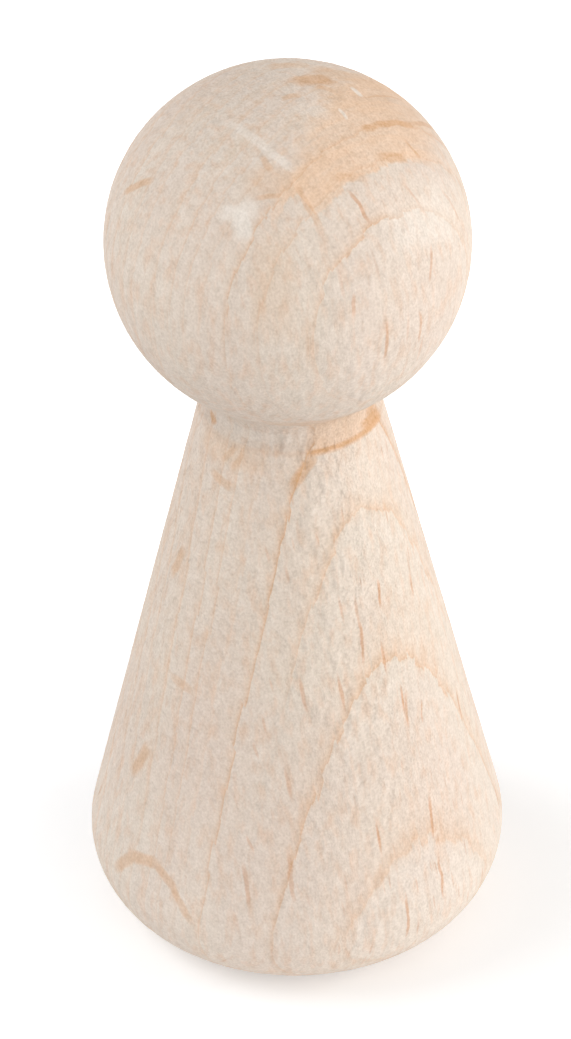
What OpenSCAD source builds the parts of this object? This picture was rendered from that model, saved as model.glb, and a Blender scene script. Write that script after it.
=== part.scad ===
// Peg doll turned from one piece of wood: a ball head on a short waisted neck, and a cone body
// with a well rounded foot. The grain runs from the base to the crown.
// The doll stands on the XY plane, with its turning axis on Z.

/* [Overall] */
// Height of the doll, from the base to the crown
doll_h = 50; // [40:0.5:90]

/* [Head] */
// Diameter of the ball head
head_d = 18.3; // [13:0.1:28]

/* [Neck] */
// Width of the groove, from the ball to the shoulder edge of the body
neck_gap = 1.6; // [0.8:0.1:2.6]
// Radius of the round tool that cuts the groove
cove_r = 1.5; // [1.4:0.1:4]

/* [Body] */
// Diameter of the shoulder, which is the top edge of the cone
shoulder_d = 9.4; // [6:0.1:12]
// Largest diameter of the body, just above the base
base_d = 22; // [18:0.1:34]
// Radius of the rounding all round the foot
foot_r = 4.3; // [1:0.1:8]

/* [Quality] */
// Number of straight steps in a full circle
$fn = 180; // [48:12:360]

/* [Hidden] */
wood_colour = "#E6D3C1";

head_r = head_d / 2;
shoulder_r = shoulder_d / 2;

// All points are [radius, height].
head_c = [0, doll_h - head_r];

// The shoulder edge lies neck_gap outside the ball, which sets how far it is below the head.
shoulder_reach = head_r + neck_gap;
shoulder_drop = sqrt(pow(shoulder_reach, 2) - pow(shoulder_r, 2));
shoulder = [shoulder_r, head_c.y - shoulder_drop];

// The groove's circle touches the ball and passes through the shoulder edge.
cove_reach = head_r + cove_r;
to_shoulder = (shoulder - head_c) / shoulder_reach;
to_outside = [-to_shoulder.y, to_shoulder.x];
cove_along = (pow(shoulder_reach, 2) + pow(cove_reach, 2) - pow(cove_r, 2)) / (2 * shoulder_reach);
cove_aside = sqrt(pow(cove_reach, 2) - pow(cove_along, 2));
cove_c = head_c + cove_along * to_shoulder + cove_aside * to_outside;

// The straight side runs from the shoulder edge to where it touches the foot's circle.
foot_c = [base_d / 2 - foot_r, foot_r];
foot_to_shoulder = shoulder - foot_c;
side_angle = atan2(foot_to_shoulder.y, foot_to_shoulder.x) - acos(foot_r / norm(foot_to_shoulder));
side_start = foot_c + foot_r * [cos(side_angle), sin(side_angle)];

// The half of the ball that lies on the profile's side of the axis
module head_profile() {
    intersection() {
        translate(head_c) circle(r = head_r);
        translate([0, head_c.y - head_r]) square([head_r, head_d]);
    }
}

// The stem between body and ball, with the groove cut out of it
module neck_profile() {
    difference() {
        polygon([[0, shoulder.y], shoulder, cove_c, head_c]);
        translate(cove_c) circle(r = cove_r);
    }
}

// The cone and its rounded foot
module body_profile() {
    polygon([[0, 0], [foot_c.x, 0], foot_c, side_start, shoulder, [0, shoulder.y]]);
    translate(foot_c) circle(r = foot_r);
}

module turned_doll() {
    color(wood_colour)
        rotate_extrude() {
            head_profile();
            neck_profile();
            body_profile();
        }
}

turned_doll();
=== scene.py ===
import math
import bpy
from mathutils import Matrix, Vector


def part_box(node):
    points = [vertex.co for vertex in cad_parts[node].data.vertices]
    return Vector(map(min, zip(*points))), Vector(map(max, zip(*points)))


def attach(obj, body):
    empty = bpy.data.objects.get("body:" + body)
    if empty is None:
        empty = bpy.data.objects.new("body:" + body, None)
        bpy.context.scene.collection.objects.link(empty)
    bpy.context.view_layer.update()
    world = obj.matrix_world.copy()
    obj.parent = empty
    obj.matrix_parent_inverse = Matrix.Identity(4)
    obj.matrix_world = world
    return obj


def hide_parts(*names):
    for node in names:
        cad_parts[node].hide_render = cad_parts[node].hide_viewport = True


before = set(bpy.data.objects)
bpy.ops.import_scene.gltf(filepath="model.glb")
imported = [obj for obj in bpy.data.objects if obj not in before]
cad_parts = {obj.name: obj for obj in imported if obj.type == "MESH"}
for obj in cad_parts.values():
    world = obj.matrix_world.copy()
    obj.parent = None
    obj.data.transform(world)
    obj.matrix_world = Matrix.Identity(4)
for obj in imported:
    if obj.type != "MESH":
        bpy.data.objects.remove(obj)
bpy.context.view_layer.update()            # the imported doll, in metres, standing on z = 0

mm = 0.001


def pickOnly(piece):
    bpy.ops.object.select_all(action='DESELECT')
    bpy.context.view_layer.objects.active = piece
    if piece:
        piece.select_set(True)


def srgb(code):              # "#RRGGBB" to the linear colour that the nodes take
    parts = [int(code[i:i + 2], 16) / 255 for i in (1, 3, 5)]
    linear = [c / 12.92 if c <= 0.04045 else ((c + 0.055) / 1.055) ** 2.4 for c in parts]
    return (*linear, 1.0)


def addNode(tree, kind, settings=None, inputs=None, out=0):
    node = tree.nodes.new("ShaderNode" + kind)
    for name, value in (settings or {}).items():
        setattr(node, name, value)
    for name, value in (inputs or {}).items():
        if isinstance(value, bpy.types.NodeSocket):
            tree.links.new(value, node.inputs[name])
        else:
            node.inputs[name].default_value = value
    return node.outputs[out]


# Camera: fitted to the outline in the photo, whose frame is 571 x 1039 pixels
photoView = {
    "frame": (571, 1039),       # pixels
    "aimPixel": (293.0, 572.0), # where the aim point lies in the photo
    "aimHeight": 20.4,          # mm up the doll's axis
    "elevation": 37.0,          # degrees above the horizon
    "distance": 274.7,          # mm from the aim point
    "pixelsPerMm": 19.367,      # at the aim point
    "lean": 0.91,               # degrees that the doll's top leans to the left
    "sensor": 36.0,             # mm, along the photo's long side
    "clipStart": 0.01,          # m
}


def placeCamera():
    view = photoView
    tilt, lean = math.radians(view["elevation"]), math.radians(view["lean"])
    back = Vector((0, -math.cos(tilt), math.sin(tilt)))
    up = Vector((0, math.sin(tilt), math.cos(tilt)))
    side = Vector((1, 0, 0))
    right = side * math.cos(lean) - up * math.sin(lean)
    top = up * math.cos(lean) + side * math.sin(lean)
    aim = Vector((0, 0, view["aimHeight"])) * mm
    place = aim + back * view["distance"] * mm
    # The aim point isn't in the middle of the photo, so the camera looks a little past it
    offX = view["frame"][0] / 2 - view["aimPixel"][0]
    offY = view["aimPixel"][1] - view["frame"][1] / 2
    middle = aim + (right * offX + top * offY) * mm / view["pixelsPerMm"]
    away = (place - middle).normalized()
    right = (right - away * right.dot(away)).normalized()
    turn = Matrix((right, away.cross(right), away)).transposed()
    bpy.ops.object.camera_add(location=place, rotation=turn.to_euler())
    camera = bpy.context.object
    camera.name = "photoCamera"
    lensPixels = view["distance"] * view["pixelsPerMm"]
    camera.data.sensor_fit = 'VERTICAL'
    camera.data.sensor_height = view["sensor"]
    camera.data.lens = lensPixels * view["sensor"] / view["frame"][1]
    camera.data.clip_start = view["clipStart"]
    bpy.context.scene.camera = camera
    print("camera placed, lens", round(camera.data.lens, 1), "mm")


placeCamera()


# The doll's form, in mm. Its height and its base come from the frame
turnedForm = {
    "headDiameter": 18.3,
    "neckGap": 1.6,             # ball to shoulder edge
    "coveRadius": 1.5,          # groove of the neck
    "shoulderDiameter": 9.4,
    "footRadius": 4.3,
    "shoulderWear": 0.15,       # how far sanding has softened the shoulder edge
    "shoulderSteps": 4,         # points round the worn edge
    "crownWear": 0.13,          # what sanding took off the top of the ball
    "stepAlong": 0.26,          # spacing of the mesh up the outline
    "stepFlat": 0.6,            # spacing across the flat base
    "stepsAround": 384,
    "mergeWithin": 0.0005,      # points closer than this become one
}


def arcPoints(centre, radius, start, end, step):
    count = max(2, round(abs(end - start) * radius / step))
    angles = [start + (end - start) * i / count for i in range(1, count + 1)]
    return [centre + Vector((math.cos(a), math.sin(a))) * radius for a in angles]


def linePoints(start, end, step):
    count = max(1, round((end - start).length / step))
    return [start.lerp(end, i / count) for i in range(1, count + 1)]


def dollOutline():
    form = turnedForm
    low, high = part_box("turned_doll")
    height, baseRadius = high.z / mm, (high.x - low.x) / 2 / mm
    step, wear = form["stepAlong"], form["shoulderWear"]
    headRadius = form["headDiameter"] / 2
    head = Vector((0, height - headRadius))
    shoulderRadius = form["shoulderDiameter"] / 2
    reach = headRadius + form["neckGap"]
    shoulder = Vector((shoulderRadius, head.y - math.sqrt(reach ** 2 - shoulderRadius ** 2)))
    # Groove: its circle touches the ball and passes through the shoulder edge
    coveRadius = form["coveRadius"]
    coveReach = headRadius + coveRadius
    down = (shoulder - head) / reach
    out = Vector((-down.y, down.x))
    along = (reach ** 2 + coveReach ** 2 - coveRadius ** 2) / (2 * reach)
    cove = head + down * along + out * math.sqrt(coveReach ** 2 - along ** 2)
    # Side: from the shoulder edge to where it touches the foot's circle
    footRadius = form["footRadius"]
    foot = Vector((baseRadius - footRadius, footRadius))
    slope = shoulder - foot
    sideAngle = math.atan2(slope.y, slope.x) - math.acos(footRadius / slope.length)
    sideStart = foot + Vector((math.cos(sideAngle), math.sin(sideAngle))) * footRadius

    base = Vector((0, 0))
    points = [base] + linePoints(base, Vector((foot.x, 0)), form["stepFlat"])
    points += arcPoints(foot, footRadius, -math.pi / 2, sideAngle, step)
    sideEnd = shoulder + (sideStart - shoulder).normalized() * wear
    points += linePoints(sideStart, sideEnd, step)
    coveAngle = math.atan2(shoulder.y - cove.y, shoulder.x - cove.x) % (2 * math.pi)
    coveStart = coveAngle - wear / coveRadius
    coveFirst = cove + Vector((math.cos(coveStart), math.sin(coveStart))) * coveRadius
    for i in range(form["shoulderSteps"]):      # worn shoulder edge
        t = (i + 1) / form["shoulderSteps"]
        points.append(sideEnd * (1 - t) ** 2 + shoulder * 2 * t * (1 - t) + coveFirst * t ** 2)
    touch = head - cove
    touchAngle = math.atan2(touch.y, touch.x) % (2 * math.pi)
    points += arcPoints(cove, coveRadius, coveStart, touchAngle, step / 2)      # small, so finer
    points += arcPoints(head, headRadius, touchAngle - math.pi, math.pi / 2, step)
    flatter = 1 - form["crownWear"] / headRadius
    for p in points:
        if p.y > head.y:
            p.y = head.y + (p.y - head.y) * flatter
    points[-1].x = 0            # the crown closes on the axis
    return points


def turnDoll():
    outline = [Vector((p.x, 0, p.y)) * mm for p in dollOutline()]
    pickOnly(None)
    # Three points, merged to one on the axis, where the outline starts
    bpy.ops.mesh.primitive_circle_add(vertices=3, radius=mm, location=outline[0])
    doll = bpy.context.object
    doll.name = doll.data.name = "dollWood"
    bpy.ops.object.mode_set(mode='EDIT')
    bpy.ops.mesh.select_all(action='SELECT')
    bpy.ops.mesh.merge(type='CENTER')
    for a, b in zip(outline, outline[1:]):      # draw the half outline, point by point
        bpy.ops.mesh.extrude_vertices_move(TRANSFORM_OT_translate={"value": b - a})
    bpy.ops.object.mode_set(mode='OBJECT')
    lathe = doll.modifiers.new("lathe", 'SCREW')
    lathe.steps = lathe.render_steps = turnedForm["stepsAround"]
    lathe.use_merge_vertices = True
    lathe.merge_threshold = turnedForm["mergeWithin"] * mm
    bpy.ops.object.modifier_apply(modifier="lathe")
    bpy.ops.object.mode_set(mode='EDIT')
    bpy.ops.mesh.select_all(action='SELECT')
    bpy.ops.mesh.remove_doubles(threshold=turnedForm["mergeWithin"] * mm)
    bpy.ops.mesh.normals_make_consistent(inside=False)
    bpy.ops.object.mode_set(mode='OBJECT')
    bpy.ops.object.transform_apply(location=True, rotation=True, scale=True)
    bpy.ops.object.shade_smooth()
    print("doll turned:", len(outline), "outline points,", len(doll.data.polygons), "faces")
    return doll


# Sanding leaves the turned form a little uneven. Depths and cell sizes in mm, all of it inwards
sandedRelief = {
    "handUneven": {"cell": 7.0, "detail": 2, "depth": 0.05, "grainStretch": 2.0},
    "raisedGrain": {"cell": 0.42, "detail": 2, "depth": 0.035, "grainStretch": 1.3},
}


def sandDoll(piece):
    pickOnly(None)
    for name, relief in sandedRelief.items():
        bpy.ops.object.empty_add(scale=(1, 1, relief["grainStretch"]))
        stretch = bpy.context.object
        clouds = bpy.data.textures.new(name, 'CLOUDS')
        clouds.noise_scale = relief["cell"] * mm
        clouds.noise_depth = relief["detail"]
        dent = piece.modifiers.new(name, 'DISPLACE')
        dent.texture = clouds
        dent.texture_coords = 'OBJECT'
        dent.texture_coords_object = stretch
        dent.mid_level = 1.0    # inwards only
        dent.strength = relief["depth"] * mm
        pickOnly(piece)
        bpy.ops.object.modifier_apply(modifier=name)
        bpy.data.objects.remove(stretch)
    print("doll sanded, relief of", len(sandedRelief), "sizes")


# The figure of the beech, in mm. Across is from ring to ring, along is around a ring, up is up the grain.
# Here and below, keys 1 to 4 go into a Map Range: 1 and 2 bound what is read, 3 and 4 what comes out
beechFigure = {
    "ringFacing": 40.0,         # degrees to the viewer's right that the rings face
    "ringSpan": 11.5,           # how far from the axis the ring chart reaches
    # Where each ring ends, across from the axis, and how dark its last late wood is
    "rings": ((-10.3, 0.6), (-8.4, 0.6), (-6.8, 0.45), (-5.2, 0.55), (-3.6, 0.45), (-2.45, 0.65),
              (-0.65, 0.7), (0.65, 0.55), (1.55, 0.6), (2.6, 0.3), (4.05, 1.0), (5.6, 0.7),
              (7.55, 0.95), (10.13, 1.0)),
    "ringFall": 0.08,           # width of the drop back to pale
    "lateWoodPower": 12.0,      # keeps most of a ring pale
    "outside": 0.3,             # how dark it is past the first and the last ring
    "ringWobble": 0.12,         # how far a cloud moves the rings
    "ringJag": 0.1,
    "ringStep": ((9, 0.6, 8), 0.2),         # bundles of fibres set ring edges off: their size, how far
    "ringBow": {"across": (8.6, 10.0), "along": 1.0, "curve": 0.009},   # the outermost rings curve back
    # How clearly the rings show, by mm up
    "ringShow": ((1.0, 0.3), (5.0, 0.45), (9.0, 0.7), (14.0, 0.8), (19.0, 1.0), (30.0, 1.0),
                 (33.0, 0.7), (34.5, 0.15), (40.0, 0.3), (43.5, 0.6), (46.0, 0.85), (49.0, 0.7)),
    "showFade": {1: 0.35, 2: 0.6, 3: 0.7, 4: 1.0},      # and by their cloud
    "sideShow": {1: 1.0, 2: -1.5, 3: 0.0, 4: 0.72},     # least of it on the far side of the axis
    # One ring gets lost down the body, out to this far from its middle
    "faintRing": {"across": 5.45, "reach": (0.35, 0.6), "up": (20.5, 17.0), "loss": 0.85},
    # From neck to head the rings bend away from the one that stays still, most at one end along
    "headBend": {"up": (31.0, 40.0), "still": 7.6, "share": 0.17, "along": (-5.0, 5.0)},
    "colours": {"cream": "#E9DACA", "pink": "#E6D4C5", "pale": "#F4E8DB", "blush": "#E4BC9C",
                "tan": "#EECAAA", "late": "#DEAC7E", "ray": "#D6A47E", "fleck": "#DDAD80",
                "end": "#DCC2A6", "groove": "#E4B88E"},
}

# On the crown the tan wood inside two of the ring edges is cut across, so it shows broad there
crownTan = {
    "across": (1.3, 3.0),       # where it comes in
    "slant": 0.45,              # and how that line leans
    "ends": (4.5, 5.85),        # ring edges where it stops, before and after a ray
    "ray": -3.4,                # mm along
    "rayReach": 0.1,            # the step at that ray, either way
    "left": (-5.7, -4.5),       # mm along
    "height": (45.4, 47.5),
    "edge": (-0.05, 0.08),      # softness of the ring edge
    "streaks": {1: 0.3, 2: 0.65, 3: 0.6, 4: 1.0},
    "strength": 0.88,
}

# Each cloud is a noise, given by its cell size across, along and up, and its detail
grainClouds = {
    "wobble": ((11, 11, 26), 1.0),      # rings aren't quite flat
    "jag": ((1.0, 0.45, 5.0), 2.0),     # ring edges step from fibre to fibre
    "show": ((6, 6, 12), 1.0),          # rings fade out and come back
    "tone": ((5, 7, 16), 2.0),          # cream drifts to pink
    "blush": ((0.5, 0.4, 1.6), 2.0),    # small warm spots along the fibres
    "layer": ((0.4, 4.0, 14), 3.0),     # fine layers inside a ring
    "fibre": ((1.4, 0.22, 2.2), 2.0),   # fibres and the finest rays
    "mottle": ((0.48, 0.43, 0.56), 2.6),    # raised ends of sanded fibres
    "speck": ((0.12, 0.11, 0.14), 1.0), # pores, drawn coarser than real so that they show
    "hollow": ((1.0, 0.8, 1.2), 1.0),   # shallow hollows where sanding wore the softer wood
    "warp": ((1.2, 1.2, 1.2), 2.0),     # keeps strokes and flecks from being neat
}

# Rays are thin upright plates across the rings: cell size, share of a cell, share left out, strength
rayStrokes = {
    "large": {"cell": (9, 0.6, 6.0), "radius": 0.21, "skip": 0.4, "strength": 0.9},
    "small": {"cell": (6, 0.36, 2.8), "radius": 0.21, "skip": 0.1, "strength": 0.5},
}
rayLook = {
    "warp": (0.2, 0.16, 0.2),   # mm
    "core": 0.4,                # share of the radius that is fully dark
    "faceOn": {1: 0.15, 2: 0.7, 3: 0.12, 4: 1.0},       # clearest where the rings face outwards
    "onBody": {1: 31.0, 2: 34.0, 3: 1.0, 4: 0.32},      # and fainter on the head, by mm up
}

# Marks that this doll has: two ends as degrees round to the right and mm up, width in mm, strength.
# The renderer's memory for one material holds about 66 such marks in all, and these are 65
beechFlecks = (
    ((-62.6, 32.0), (-59.0, 31.7), 0.5, 0.75),
    ((-37.0, 31.1), (-43.0, 30.2), 0.4, 0.32),
    ((-31.0, 31.0), (-36.0, 29.9), 0.4, 0.3),
    ((-49.9, 29.2), (-37.6, 28.9), 0.6, 0.4),
    ((-66.0, 22.6), (-61.5, 24.1), 0.7, 0.5),
    ((-51.7, 17.5), (-42.3, 17.4), 0.6, 0.35),
    ((-62.6, 10.9), (-58.0, 12.7), 0.9, 0.55),
    ((-60.8, 5.2), (-54.8, 6.6), 0.8, 0.5),
    ((-55.8, 6.5), (-44.8, 7.1), 0.8, 0.55),
    ((-45.8, 7.1), (-38.0, 6.4), 0.7, 0.5),
    ((-38.6, 6.5), (-31.3, 4.9), 0.6, 0.45),
    ((2.0, 29.7), (12.0, 30.9), 0.7, 0.62),
    ((55.0, 31.4), (72.0, 31.35), 0.9, 0.85),
    ((64.0, 31.8), (76.0, 32.5), 1.1, 0.66),
    ((-77.0, 45.1), (-66.5, 46.4), 0.5, 0.6),
    ((5.0, 47.8), (12.0, 46.4), 0.4, 0.45),
    ((-13.1, 48.6), (-8.8, 48.3), 0.4, 0.4),
    ((-13.0, 47.4), (-4.0, 47.5), 0.35, 0.45),
    ((24.7, 47.9), (38.3, 47.6), 0.6, 0.35),
    ((53.4, 47.9), (64.2, 47.4), 0.6, 0.5),
    ((74.0, 47.7), (72.5, 46.9), 0.25, 0.55),
    ((59.0, 48.74), (70.3, 48.58), 0.45, 0.65),
    ((70.3, 48.58), (81.5, 48.17), 0.5, 0.75),
    ((81.5, 48.17), (89.9, 47.55), 0.5, 0.75),
    ((89.9, 47.55), (108.3, 45.78), 0.35, 0.5),
    ((90.8, 49.1), (111.7, 47.5), 0.18, 0.4),
    ((124.5, 49.82), (115.4, 49.63), 1.2, 0.7),
    ((93.5, 49.73), (90.4, 49.6), 0.5, 0.4),
    ((-3.8, 49.81), (31.6, 49.82), 0.45, 0.5),
)
rayMarks = (                    # the longest ray strokes, on body and head
    ((41, 23.5), (40, 22.1), 0.2, 0.8),
    ((62, 22.5), (61, 21.4), 0.16, 0.6),
    ((44, 16.9), (43, 15.0), 0.18, 0.6),
    ((46, 10.8), (44, 8.5), 0.2, 0.8),
    ((51, 16.0), (50, 14.8), 0.16, 0.6),
    ((45, 7.4), (44, 4.8), 0.2, 0.7),
    ((32, 6.1), (31, 3.5), 0.2, 0.7),
    ((29, 22.0), (28, 19.4), 0.22, 0.7),
    ((-16, 8.8), (-14, 6.6), 0.3, 0.5),
    ((-3, 9.7), (-1, 7.0), 0.3, 0.5),
    ((28, 47.3), (32, 46.1), 0.24, 0.7),
    ((55, 46.6), (57, 44.9), 0.2, 0.5),
    ((21, 43.2), (20, 42.0), 0.22, 0.5),
    ((31, 41.2), (31, 39.0), 0.22, 0.65),
    ((44, 41.0), (45, 39.0), 0.2, 0.55),
    ((53, 43.8), (50, 42.3), 0.2, 0.55),
    ((72, 45.4), (74, 43.5), 0.2, 0.45),
)
stainAndShadePatches = (                # broad and faint: under the neck, on the head's front and on the crown, and one painted shade across the underside of the ball
    ((-60.0, 30.6), (-24.0, 30.6), 1.5, 0.26),
    ((-5.0, 45.6), (-5.0, 42.0), 2.4, 0.2),
    ((-14.0, 47.9), (3.0, 47.9), 1.8, 0.3),
    # painted shade under the ball, where the ball shades itself and the neck
    ((-4.0, 33.9), (34.0, 33.9), 2.2, 0.36),
    ((134.5, 49.46), (119.9, 48.71), 1.8, 0.5),
    ((119.9, 48.71), (122.3, 47.15), 1.8, 0.45),
    ((-170.8, 49.55), (165.0, 49.48), 1.2, 0.4),
    ((89.9, 49.55), (90.0, 48.36), 2.6, 0.35),
)
paleAndHighlightPatches = (                 # the diamond and the band on the head, wood that sanding left pale on the crown, and painted highlights on the neck groove, the body's upper right and the head's right
    ((-24.5, 46.7), (-14.5, 46.95), 1.0, 0.75),
    ((-19.5, 46.8), (-16.5, 46.1), 1.0, 1.0),
    ((-58.1, 49.11), (-33.6, 49.16), 0.5, 0.4),
    ((-33.6, 49.16), (-11.9, 48.83), 0.5, 0.55),
    ((-11.9, 48.83), (2.4, 48.36), 0.5, 0.55),
    ((21.2, 49.67), (42.5, 49.5), 1.0, 0.35),
    # painted highlight on the left of the neck groove
    ((-50.0, 32.0), (4.0, 32.0), 0.7, 0.35),
    # painted highlight, broad and faint, on the body's upper right
    ((18.0, 28.6), (46.0, 28.6), 3.0, 0.2),
    ((102.6, 49.26), (93.3, 49.11), 0.3, 0.8),
    ((61.0, 49.37), (56.5, 49.17), 0.22, 0.7),
    # painted highlight on the head's right
    ((46.0, 45.2), (66.0, 44.6), 3.2, 0.5),
)
markForm = {
    "warp": 0.4,                # mm, what bends a mark out of true
    "ballFrom": 32.5,           # mm up: above it a mark faces away from the ball's middle
    "leastDepth": 1.5,          # mm, how far a mark goes into the wood
    "edge": (1.2, 0.15),        # its soft edge, as the square of the distance over the half size
}

# The neck groove: mm up and strength. Outside one ring edge it is tan. Its crease line is partly painted shade
# in the crease and partly orange late wood. Painted shade darkens the groove and the underside of the ball,
# where the ball shades them
neckGroove = {
    "crease": ((30.95, 0.0), (31.08, 0.6), (31.18, 1.0), (31.28, 0.9), (31.4, 0.0)),
    "panel": ((31.15, 0.0), (31.3, 0.65), (33.0, 0.65), (33.6, 0.0)),
    # painted shade in the groove and under the ball, where the ball shades them
    "paintedNeckShade": ((30.9, 0.0), (31.5, 0.55), (33.4, 1.0), (35.5, 0.6), (38.5, 0.2), (42.0, 0.0)),
    "panelEdge": 4.12,          # mm across
    "panelSoft": 0.15,          # mm
    "inner": {3: 0.15, 4: 0.9}, # the crease before and past that edge
    "paintedNeckShadeShare": 0.155,
}
paintedFloorBounce = ((1.0, 0.32), (5.0, 0.28), (8.0, 0.16), (13.0, 0.0))     # painted bounce light from the floor, lighter towards the bottom: mm up and strength

# How the parts of the figure show in colour, and how they stand in the surface
beechLook = {
    "endGrain": {1: 0.6, 2: 1.0},       # by how far the surface faces up or down
    "endStreaks": {1: 0.5, 2: 0.72, 3: 0.0, 4: 0.4},
    "pinkShare": {1: 0.35, 2: 0.65},
    "blushSpots": {1: 0.48, 2: 0.75, 3: 0.0, 4: 0.42},
    "ringTan": 0.2,
    "ringLine": 0.85,
    "shade": {"layer": 0.06, "fibre": 0.04, "mottle": 0.11, "speck": 0.17},     # either way from the middle
    "richness": {1: 0.9, 2: 1.1, 3: 1.08, 4: 0.92},     # darker wood is a little stronger in colour
    # Relief: late wood stands proud, rays are fine grooves, fibre ends are raised, soft wood is hollowed
    "relief": {"late": 0.2, "layer": 0.2, "fibre": 0.22, "mottle": 2.4, "speck": 0.4,
               "rays": -0.2, "hollow": 1.0},
    "reliefDepth": 0.11,        # mm
    "hollows": {1: -0.95, 2: -0.65, 3: 0.0, 4: 3.0},    # none on the left, where the rings are cut on edge
    # Less relief where the rings face outwards, and from the right round to the back
    "ringSide": {1: 0.3, 2: 0.9, 3: 1.0, 4: 0.72},
    "smoothSide": {1: -0.3, 2: 0.5, 3: 1.1, 4: 0.58},
    # And by mm up: the body's upper half was sanded least
    "grainRough": ((0.0, 0.56), (6.0, 0.6), (12.0, 0.8), (18.0, 0.85), (23.0, 0.95), (30.0, 0.95),
                   (35.0, 0.58), (50.0, 0.56)),
    "roughness": 0.72,
    "ior": 1.5,
}


def chartTone(tree, value, stops):       # a value looked up in a short list of places and strengths
    low, high = stops[0][0], stops[-1][0]
    place = addNode(tree, "MapRange", {}, {0: value, 1: low, 2: high})
    chart = addNode(tree, "ValToRGB", {}, {0: place})
    ramp = chart.node.color_ramp
    for stop, (level, strength) in zip(ramp.elements, (stops[0], stops[-1])):
        stop.color = (strength, strength, strength, 1)
    for level, strength in stops[1:-1]:
        stop = ramp.elements.new((level - low) / (high - low))
        stop.color = (strength, strength, strength, 1)
    return chart


def ringTone(tree, parts, cloud, grain):
    figure = beechFigure
    headBend = figure["headBend"]
    share = addNode(tree, "MapRange", {}, {0: parts["Y"], 1: headBend["along"][0], 2: headBend["along"][1],
                                           3: headBend["share"], 4: 0.0})
    bend = addNode(tree, "MapRange", {"interpolation_type": 'SMOOTHSTEP'},
                   {0: parts["Z"], 1: headBend["up"][0], 2: headBend["up"][1], 3: 0.0, 4: share})
    inner = addNode(tree, "Math", {"operation": 'SUBTRACT'}, {0: parts["X"], 1: headBend["still"]})
    place = addNode(tree, "Math", {"operation": 'MULTIPLY_ADD'}, {0: inner, 1: bend, 2: parts["X"]})
    bow = figure["ringBow"]
    curve = addNode(tree, "MapRange", {}, {0: parts["X"], 1: bow["across"][0], 2: bow["across"][1],
                                           3: 0.0, 4: bow["curve"]})
    side = addNode(tree, "Math", {"operation": 'SUBTRACT'}, {0: parts["Y"], 1: bow["along"]})
    side = addNode(tree, "Math", {"operation": 'MULTIPLY'}, {0: side, 1: side})
    place = addNode(tree, "Math", {"operation": 'MULTIPLY_ADD'}, {0: side, 1: curve, 2: place})
    size, reach = figure["ringStep"]
    bundle = addNode(tree, "VectorMath", {"operation": 'DIVIDE'}, {0: grain, 1: size})
    bundle = addNode(tree, "TexVoronoi", {}, {"Vector": bundle, "Scale": 1.0}, "Color")
    bundle = addNode(tree, "SeparateColor", {}, {0: bundle}, "Green")
    place = addNode(tree, "Math", {"operation": 'MULTIPLY_ADD'}, {0: bundle, 1: reach, 2: place})
    middle = reach / 2
    for name, reach in (("wobble", figure["ringWobble"]), ("jag", figure["ringJag"])):
        place = addNode(tree, "Math", {"operation": 'MULTIPLY_ADD'}, {0: cloud[name], 1: 2 * reach, 2: place})
        middle += reach
    across = addNode(tree, "Math", {"operation": 'SUBTRACT'}, {0: place, 1: middle})
    span, power = figure["ringSpan"], figure["lateWoodPower"]
    stops = [(-span, figure["outside"])]
    for edge, depth in figure["rings"]:
        stops += [(edge, depth ** (1 / power)), (edge + figure["ringFall"], 0)]
    chart = chartTone(tree, across, stops + [(span, figure["outside"])])
    late = addNode(tree, "Math", {"operation": 'POWER'}, {0: chart, 1: power})
    shown = addNode(tree, "MapRange", {}, {0: cloud["show"], **figure["showFade"]})
    byHeight = chartTone(tree, parts["Z"], figure["ringShow"])
    bySide = addNode(tree, "MapRange", {}, {0: across, **figure["sideShow"]})
    byHeight = addNode(tree, "Math", {"operation": 'MAXIMUM'}, {0: byHeight, 1: bySide})
    shown = addNode(tree, "Math", {"operation": 'MULTIPLY'}, {0: shown, 1: byHeight})
    faint = figure["faintRing"]
    aside = addNode(tree, "Math", {"operation": 'SUBTRACT'}, {0: across, 1: faint["across"]})
    aside = addNode(tree, "Math", {"operation": 'ABSOLUTE'}, {0: aside})
    lost = addNode(tree, "MapRange", {}, {0: parts["Z"], 1: faint["up"][0], 2: faint["up"][1],
                                          3: 0.0, 4: faint["loss"]})
    lost = addNode(tree, "MapRange", {}, {0: aside, 1: faint["reach"][0], 2: faint["reach"][1],
                                          3: lost, 4: 0.0})
    kept = addNode(tree, "Math", {"operation": 'SUBTRACT'}, {0: 1.0, 1: lost})
    shown = addNode(tree, "Math", {"operation": 'MULTIPLY'}, {0: shown, 1: kept})
    rise, late = (addNode(tree, "Math", {"operation": 'MULTIPLY'}, {0: tone, 1: shown})
                  for tone in (chart, late))
    return across, rise, late


def crownTone(tree, across, parts, cloud):
    zone = crownTan
    ray, reach = zone["ray"], zone["rayReach"]
    end = addNode(tree, "MapRange", {}, {0: parts["Y"], 1: ray - reach, 2: ray + reach,
                                         3: zone["ends"][0], 4: zone["ends"][1]})
    inside = addNode(tree, "Math", {"operation": 'SUBTRACT'}, {0: end, 1: across})
    tone = addNode(tree, "MapRange", {}, {0: inside, 1: zone["edge"][0], 2: zone["edge"][1],
                                          3: 0.0, 4: zone["strength"]})
    streaks = addNode(tree, "MapRange", {}, {0: cloud["layer"], **zone["streaks"]})
    tone = addNode(tree, "Math", {"operation": 'MULTIPLY'}, {0: tone, 1: streaks})
    slant = addNode(tree, "Math", {"operation": 'MULTIPLY_ADD'}, {0: parts["Y"], 1: zone["slant"], 2: across})
    for value, name in ((slant, "across"), (parts["Y"], "left"), (parts["Z"], "height")):
        fade = addNode(tree, "MapRange", {"interpolation_type": 'SMOOTHSTEP'},
                       {0: value, 1: zone[name][0], 2: zone[name][1]})
        tone = addNode(tree, "Math", {"operation": 'MULTIPLY'}, {0: tone, 1: fade})
    return tone


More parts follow.
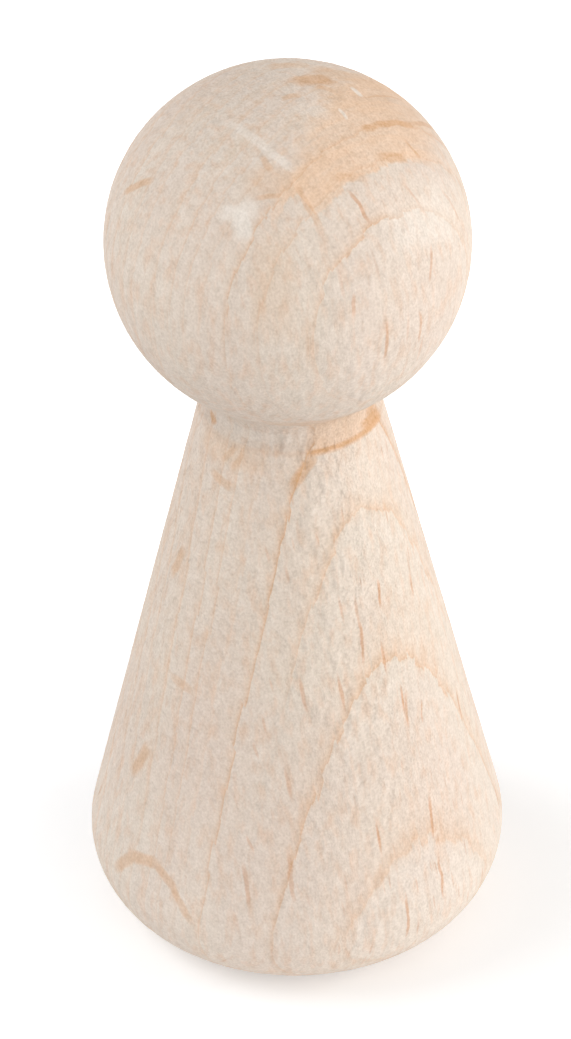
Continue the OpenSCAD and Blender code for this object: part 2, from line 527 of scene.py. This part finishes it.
def rayTone(tree, grain, warp, ringFace, height):
    look, mark = rayLook, 0.0
    for ray in rayStrokes.values():
        bent = addNode(tree, "VectorMath", {"operation": 'MULTIPLY_ADD'}, {0: warp, 1: look["warp"], 2: grain})
        cell = addNode(tree, "VectorMath", {"operation": 'DIVIDE'}, {0: bent, 1: ray["cell"]})
        plates = addNode(tree, "TexVoronoi", {}, {"Vector": cell, "Scale": 1.0}, "Distance")
        stroke = addNode(tree, "MapRange", {"interpolation_type": 'SMOOTHSTEP'},
                         {0: plates, 1: ray["radius"], 2: ray["radius"] * look["core"]})
        pick = addNode(tree, "SeparateColor", {}, {0: plates.node.outputs["Color"]})
        depth = addNode(tree, "MapRange", {}, {0: pick, 1: ray["skip"], 2: 1.0, 3: 0.0, 4: ray["strength"]})
        stroke = addNode(tree, "Math", {"operation": 'MULTIPLY'}, {0: stroke, 1: depth})
        mark = addNode(tree, "Math", {"operation": 'MAXIMUM'}, {0: stroke, 1: mark})
    faceOn = addNode(tree, "MapRange", {"interpolation_type": 'SMOOTHSTEP'}, {0: ringFace, **look["faceOn"]})
    onBody = addNode(tree, "MapRange", {"interpolation_type": 'SMOOTHSTEP'}, {0: height, **look["onBody"]})
    mark = addNode(tree, "Math", {"operation": 'MULTIPLY'}, {0: mark, 1: onBody})
    return addNode(tree, "Math", {"operation": 'MULTIPLY'}, {0: mark, 1: faceOn})


def dollRadius(height):      # mm from the axis to the surface
    side = [p for p in dollOutline() if p.x > 0]
    for low, high in zip(side, side[1:]):
        if low.y <= height <= high.y:
            return low.x + (high.x - low.x) * (height - low.y) / max(high.y - low.y, 1e-6)
    return 0.0


def surfacePoint(turnRight, height):
    angle, radius = math.radians(turnRight), dollRadius(height)
    return Vector((radius * math.sin(angle), -radius * math.cos(angle), height))


def markTone(tree, spot, marks):
    form, tone = markForm, 0.0
    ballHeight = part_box("turned_doll")[1].z / mm - turnedForm["headDiameter"] / 2
    for start, end, width, strength in marks:
        a, b = surfacePoint(*start), surfacePoint(*end)
        along = (b - a).normalized()
        out = (a + b) / 2
        out.z -= ballHeight if out.z > form["ballFrom"] else out.z      # on the body, away from the axis
        out = (out - along * out.dot(along)).normalized()
        turn = Matrix((along, out.cross(along), out)).transposed().to_euler()
        half = (b - a).length / 2
        size = (half + width / 2, width / 2, max(form["leastDepth"], half))
        near = addNode(tree, "Mapping", {"vector_type": 'TEXTURE'},
                       {"Vector": spot, "Location": (a + b) / 2, "Rotation": turn, "Scale": size})
        near = addNode(tree, "VectorMath", {"operation": 'MULTIPLY'}, {0: near, 1: near})    # blunt ends
        far = addNode(tree, "VectorMath", {"operation": 'LENGTH'}, {0: near}, "Value")
        mark = addNode(tree, "MapRange", {"interpolation_type": 'SMOOTHSTEP'},
                       {0: far, 1: form["edge"][0], 2: form["edge"][1], 3: 0.0, 4: strength})
        tone = addNode(tree, "Math", {"operation": 'MAXIMUM'}, {0: mark, 1: tone})
    return tone


def beechMaterial():
    # Bare sanded beech: matt and warm. Each ring is pale, darkens to tan and breaks off at a fine orange
    # line. Where the rings face you, rays show as short red-brown strokes, and on crown and base the end
    # grain is a little darker
    wood = bpy.data.materials.new("sandedBeech")
    wood.use_nodes = True
    tree = wood.node_tree
    shader = tree.nodes["Principled BSDF"]
    look = beechLook
    colours = {name: srgb(code) for name, code in beechFigure["colours"].items()}

    place = addNode(tree, "TexCoord", out="Object")
    turn = (0, 0, math.radians(90 - beechFigure["ringFacing"]))
    grain = addNode(tree, "Mapping", {}, {"Vector": place, "Rotation": turn, "Scale": (1 / mm,) * 3})
    facing = addNode(tree, "Mapping", {"vector_type": 'NORMAL'},
                     {"Vector": place.node.outputs["Normal"], "Rotation": turn})
    cloud = {}
    for name, (size, detail) in grainClouds.items():
        cell = addNode(tree, "VectorMath", {"operation": 'DIVIDE'}, {0: grain, 1: size})
        cloud[name] = addNode(tree, "TexNoise", {}, {"Vector": cell, "Scale": 1.0, "Detail": detail})
    warp = addNode(tree, "VectorMath", {"operation": 'SUBTRACT'},
                   {0: cloud["warp"].node.outputs["Color"], 1: (0.5, 0.5, 0.5)})
    faceParts = addNode(tree, "SeparateXYZ", {}, {0: facing}).node
    ringFace, upFace = (addNode(tree, "Math", {"operation": 'ABSOLUTE'}, {0: faceParts.outputs[axis]})
                        for axis in ("X", "Z"))
    endGrain = addNode(tree, "MapRange", {"interpolation_type": 'SMOOTHSTEP'}, {0: upFace, **look["endGrain"]})

    parts = addNode(tree, "SeparateXYZ", {}, {0: grain}).node.outputs
    height = parts["Z"]
    across, rise, late = ringTone(tree, parts, cloud, grain)
    rays = rayTone(tree, grain, warp, ringFace, height)
    upright = addNode(tree, "Mapping", {}, {"Vector": place, "Scale": (1 / mm,) * 3})
    bent = {0: warp, 1: (markForm["warp"],) * 3, 2: upright}
    spot = addNode(tree, "VectorMath", {"operation": 'MULTIPLY_ADD'}, bent)
    flecks, stainsAndShade, palesAndHighlights, strokes = (markTone(tree, spot, marks) for marks in
                                      (beechFlecks, stainAndShadePatches, paleAndHighlightPatches, rayMarks))
    strokes = addNode(tree, "Math", {"operation": 'MAXIMUM'}, {0: rays, 1: strokes})
    edge = neckGroove["panelEdge"]
    outer = addNode(tree, "MapRange", {}, {0: across, 1: edge - neckGroove["panelSoft"], 2: edge})
    # the crease line: partly painted shade in the crease, partly the orange late wood line, strongest past the
    # ring edge
    crease = addNode(tree, "MapRange", {}, {0: outer, **neckGroove["inner"]})
    crease = addNode(tree, "Math", {"operation": 'MULTIPLY'},
                     {0: crease, 1: chartTone(tree, height, neckGroove["crease"])})
    panel = addNode(tree, "Math", {"operation": 'MULTIPLY'},
                    {0: outer, 1: chartTone(tree, height, neckGroove["panel"])})
    crown = crownTone(tree, across, parts, cloud)
    # painted light: the foot is made paler where the floor throws light up onto it
    floorBounceLight = chartTone(tree, height, paintedFloorBounce)

    # Colour from the pale ground up: each step mixes one colour in
    tone = addNode(tree, "MapRange", {}, {0: cloud["tone"], **look["pinkShare"]})
    blush = addNode(tree, "MapRange", {}, {0: cloud["blush"], **look["blushSpots"]})
    tan = addNode(tree, "Math", {"operation": 'MULTIPLY'}, {0: rise, 1: look["ringTan"]})
    line = addNode(tree, "Math", {"operation": 'MULTIPLY'}, {0: late, 1: look["ringLine"]})
    streak = addNode(tree, "MapRange", {}, {0: cloud["layer"], **look["endStreaks"]})
    end = addNode(tree, "Math", {"operation": 'MULTIPLY'}, {0: endGrain, 1: streak})
    colour = colours["cream"]
    for share, name in ((tone, "pink"), (floorBounceLight, "pale"), (blush, "blush"), (tan, "tan"), (stainsAndShade, "groove"),
                        (end, "end"), (crown, "tan"), (panel, "tan"), (line, "late"), (crease, "fleck"),
                        (strokes, "ray"), (palesAndHighlights, "pale"), (flecks, "fleck")):
        mix = {"Factor": share, 6: colour, 7: colours[name]}
        colour = addNode(tree, "Mix", {"data_type": 'RGBA'}, mix, 2)
    shade = 1.0
    for name, depth in look["shade"].items():
        swing = addNode(tree, "Math", {"operation": 'SUBTRACT'}, {0: cloud[name], 1: 0.5})
        shade = addNode(tree, "Math", {"operation": 'MULTIPLY_ADD'}, {0: swing, 1: depth * 2, 2: shade})
    rich = addNode(tree, "MapRange", {}, {0: shade, **look["richness"]})
    # painted shade: the groove and the underside of the ball are darkened where the ball shades them
    paintedNeckShade = {0: chartTone(tree, height, neckGroove["paintedNeckShade"]), 1: -neckGroove["paintedNeckShadeShare"], 2: shade}
    shade = addNode(tree, "Math", {"operation": 'MULTIPLY_ADD'}, paintedNeckShade)
    colour = addNode(tree, "HueSaturation", {}, {"Saturation": rich, "Value": shade, "Color": colour})
    tree.links.new(colour, shader.inputs["Base Color"])

    hollow = addNode(tree, "MapRange", {}, {0: faceParts.outputs["Y"], **look["hollows"]})
    hollow = addNode(tree, "Math", {"operation": 'MULTIPLY'}, {0: cloud["hollow"], 1: hollow})
    levels = {**cloud, "late": late, "rays": rays, "hollow": hollow}
    relief = 0.0
    for name, depth in look["relief"].items():
        relief = addNode(tree, "Math", {"operation": 'MULTIPLY_ADD'}, {0: levels[name], 1: depth, 2: relief})
    rough = addNode(tree, "MapRange", {}, {0: ringFace, **look["ringSide"]})
    byHeight = chartTone(tree, height, look["grainRough"])
    rough = addNode(tree, "Math", {"operation": 'MULTIPLY'}, {0: rough, 1: byHeight})
    smoother = addNode(tree, "MapRange", {}, {0: faceParts.outputs["Y"], **look["smoothSide"]})
    rough = addNode(tree, "Math", {"operation": 'MULTIPLY'}, {0: rough, 1: smoother})
    raised = {"Strength": rough, "Distance": look["reliefDepth"] * mm, "Height": relief}
    tree.links.new(addNode(tree, "Bump", {}, raised), shader.inputs["Normal"])
    shader.inputs["Roughness"].default_value = look["roughness"]
    shader.inputs["IOR"].default_value = look["ior"]
    print("beech mixed,", len(tree.nodes), "nodes")
    return wood


doll = turnDoll()
sandDoll(doll)
doll.data.materials.append(beechMaterial())
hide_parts("turned_doll")
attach(doll, "root")


# Matt white paper floor. The camera sees it and the world as white, and the floor keeps the shadow
paperFloor = {
    "size": 4.0,                # m
    "colour": "#F4F4F4",
    "roughness": 0.9,
    "glowColour": "#FFFFFF",
    "glow": {1: 0.012, 2: 0.034, 3: 0.3, 4: 0.65},      # by m from the doll's axis
}


def seenDirectly(tree):          # what the camera sees, or what gloss reflects
    path = addNode(tree, "LightPath", out="Is Camera Ray")
    return addNode(tree, "Math", {"operation": 'MAXIMUM'}, {0: path, 1: path.node.outputs["Is Glossy Ray"]})


def paperMaterial():
    paper = bpy.data.materials.new("mattPaper")
    paper.use_nodes = True
    tree = paper.node_tree
    shader = tree.nodes["Principled BSDF"]
    shader.inputs["Base Color"].default_value = srgb(paperFloor["colour"])
    shader.inputs["Roughness"].default_value = paperFloor["roughness"]
    shader.inputs["Emission Color"].default_value = srgb(paperFloor["glowColour"])
    seen = seenDirectly(tree)
    place = addNode(tree, "TexCoord", out="Object")
    away = addNode(tree, "VectorMath", {"operation": 'LENGTH'}, {0: place}, "Value")
    glow = addNode(tree, "MapRange", {"interpolation_type": 'SMOOTHSTEP'}, {0: away, **paperFloor["glow"]})
    glow = addNode(tree, "Math", {"operation": 'MULTIPLY'}, {0: seen, 1: glow})
    tree.links.new(glow, shader.inputs["Emission Strength"])
    return paper


def layFloor():
    pickOnly(None)
    bpy.ops.mesh.primitive_plane_add(size=paperFloor["size"])
    floor = bpy.context.object
    floor.name = "paperFloor"
    floor.data.materials.append(paperMaterial())


# Lamps aim at the doll's middle: degrees round to the right of the camera, degrees up, watts, colour
studioLight = {
    "worldColour": "#FFFFFF",
    "worldStrength": 0.464,     # on the doll
    "seenStrength": 1.0,        # what the camera sees: white
    "aimHeight": 25,            # mm
    "lampSize": 0.5,            # m, square
    "lampDistance": 0.8,        # m
    "lamps": {
        "softboxLeft": (-90, 44, 2.6, "#F6FAFF"),
        "softboxFront": (30, 12, 1.79, "#FFFFFF"),
        "softboxRight": (90, 12, 3.05, "#FFFFFF"),
    },
}


def lightStudio():
    world = bpy.data.worlds.new("studioWorld")
    bpy.context.scene.world = world
    world.use_nodes = True
    tree = world.node_tree
    background = tree.nodes["Background"]
    background.inputs["Color"].default_value = srgb(studioLight["worldColour"])
    strength = addNode(tree, "MapRange", {}, {0: seenDirectly(tree), 3: studioLight["worldStrength"],
                                              4: studioLight["seenStrength"]})
    tree.links.new(strength, background.inputs["Strength"])
    for name, (turnRight, up, watts, colour) in studioLight["lamps"].items():
        a, b = math.radians(turnRight), math.radians(up)
        ray = Vector((math.sin(a) * math.cos(b), -math.cos(a) * math.cos(b), math.sin(b)))
        place = Vector((0, 0, studioLight["aimHeight"])) * mm + ray * studioLight["lampDistance"]
        bpy.ops.object.light_add(type='AREA', location=place, rotation=ray.to_track_quat('Z', 'Y').to_euler())
        lamp = bpy.context.object
        lamp.name = name
        lamp.data.energy = watts
        lamp.data.size = studioLight["lampSize"]
        lamp.data.color = srgb(colour)[:3]
    print("studio lit by", len(studioLight["lamps"]), "softboxes")


layFloor()
lightStudio()
bpy.context.scene.view_settings.view_transform = 'Standard'
